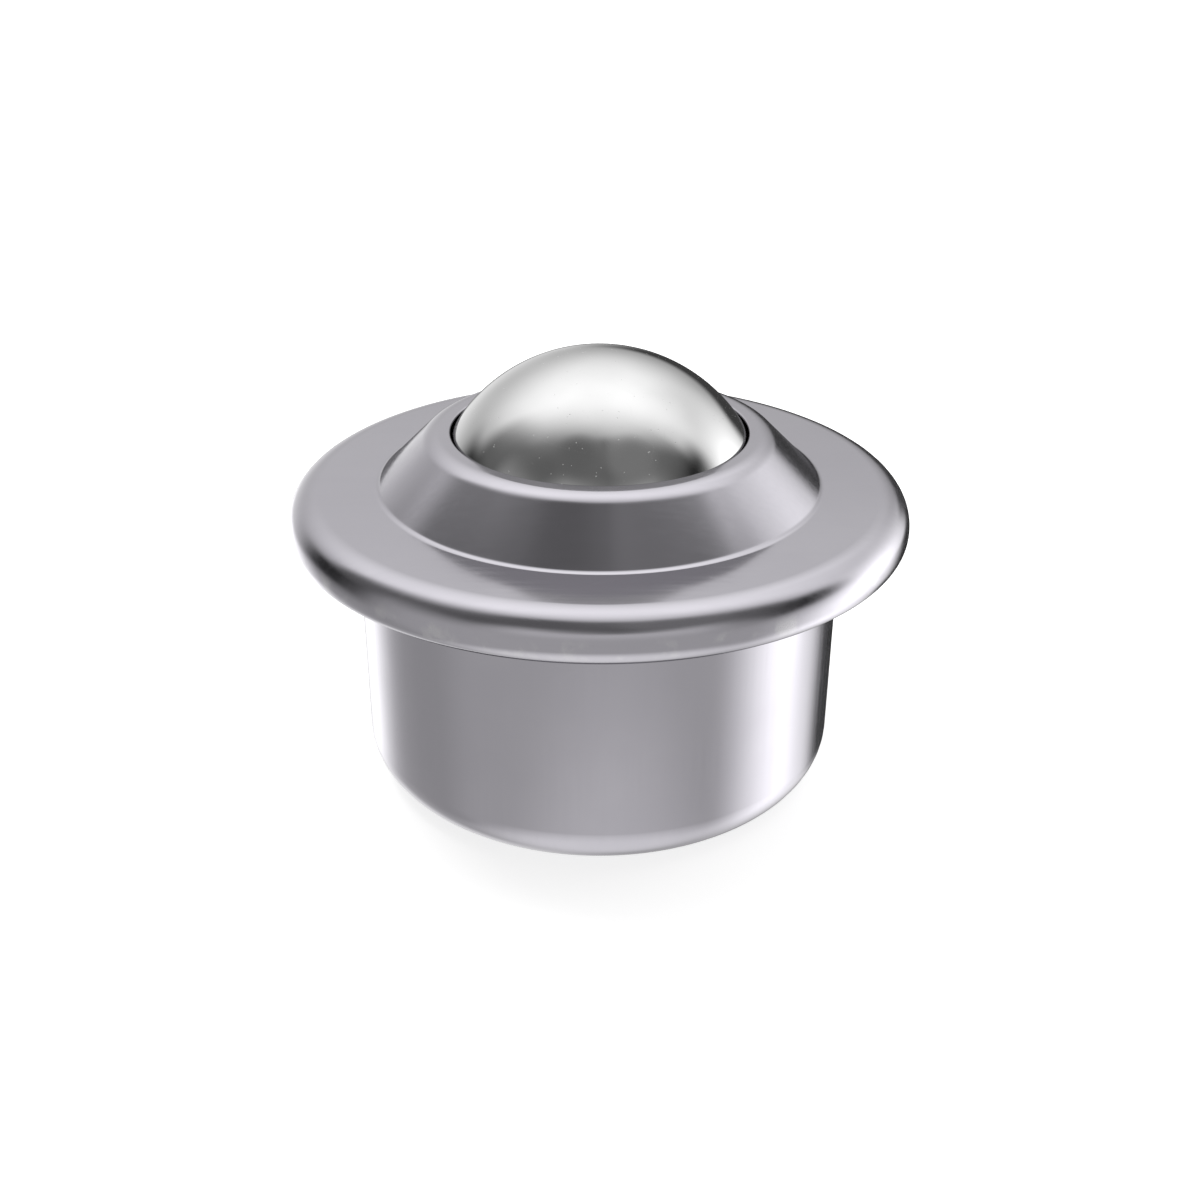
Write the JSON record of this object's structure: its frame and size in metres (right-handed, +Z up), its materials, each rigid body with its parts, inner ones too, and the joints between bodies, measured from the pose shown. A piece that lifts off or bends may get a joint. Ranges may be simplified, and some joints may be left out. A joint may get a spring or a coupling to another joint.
{
  "type": "ball castor",
  "caption": "Ball castor: a polished steel load ball on small bearing balls in a raceway cup, held by a conical collar with a round crimped flange over a drawn cup.",
  "frame": {"origin": "middle of the housing's flat bottom, which the castor stands on", "axes": "+Z up along the castor's axis, through the middle of the load ball; +X and +Y are alike"},
  "size_m": [0.054, 0.054, 0.0384],
  "materials": {
    "housing_steel": "satin",
    "cover_steel": "satin",
    "felt": "matte",
    "race_steel": "satin",
    "ball_steel": "polished",
    "bearing_steel": "polished"
  },
  "bodies": {
    "housing": {"housing": "housing_steel", "cover": "cover_steel", "felt_seal": "felt", "raceway_cup": "race_steel"},
    "ball_ring": {"bearing_ball_01": "bearing_steel", "bearing_ball_02": "bearing_steel", "bearing_ball_03": "bearing_steel", "bearing_ball_04": "bearing_steel", "bearing_ball_05": "bearing_steel", "bearing_ball_06": "bearing_steel", "bearing_ball_07": "bearing_steel", "bearing_ball_08": "bearing_steel", "bearing_ball_09": "bearing_steel", "bearing_ball_10": "bearing_steel", "bearing_ball_11": "bearing_steel", "bearing_ball_12": "bearing_steel", "bearing_ball_13": "bearing_steel", "bearing_ball_14": "bearing_steel", "bearing_ball_15": "bearing_steel", "bearing_ball_16": "bearing_steel", "bearing_ball_17": "bearing_steel", "bearing_ball_18": "bearing_steel", "bearing_ball_19": "bearing_steel", "bearing_ball_20": "bearing_steel", "bearing_ball_21": "bearing_steel", "bearing_ball_22": "bearing_steel", "bearing_ball_23": "bearing_steel", "bearing_ball_24": "bearing_steel", "bearing_ball_25": "bearing_steel", "bearing_ball_26": "bearing_steel", "bearing_ball_27": "bearing_steel", "bearing_ball_28": "bearing_steel", "bearing_ball_29": "bearing_steel", "bearing_ball_30": "bearing_steel", "bearing_ball_31": "bearing_steel", "bearing_ball_32": "bearing_steel", "bearing_ball_33": "bearing_steel", "bearing_ball_34": "bearing_steel", "bearing_ball_35": "bearing_steel", "bearing_ball_36": "bearing_steel", "bearing_ball_37": "bearing_steel", "bearing_ball_38": "bearing_steel", "bearing_ball_39": "bearing_steel", "bearing_ball_40": "bearing_steel", "bearing_ball_41": "bearing_steel", "bearing_ball_42": "bearing_steel", "bearing_ball_43": "bearing_steel", "bearing_ball_44": "bearing_steel", "bearing_ball_45": "bearing_steel", "bearing_ball_46": "bearing_steel", "bearing_ball_47": "bearing_steel", "bearing_ball_48": "bearing_steel", "bearing_ball_49": "bearing_steel", "bearing_ball_50": "bearing_steel", "bearing_ball_51": "bearing_steel", "bearing_ball_52": "bearing_steel", "bearing_ball_53": "bearing_steel", "bearing_ball_54": "bearing_steel", "bearing_ball_55": "bearing_steel"},
    "load_ball": {"load_ball": "ball_steel"}
  },
  "joints": [
    {"name": "ball_ring_orbit", "type": "hinge", "parent": "housing", "child": "ball_ring", "pos_m": [0, 0, 0.02336], "axis": [0, 0, 1], "continuous": true},
    {"name": "load_ball_roll", "type": "hinge", "parent": "ball_ring", "child": "load_ball", "pos_m": [0, 0, 0.02336], "axis": [1, 0, 0], "continuous": true}
  ]
}
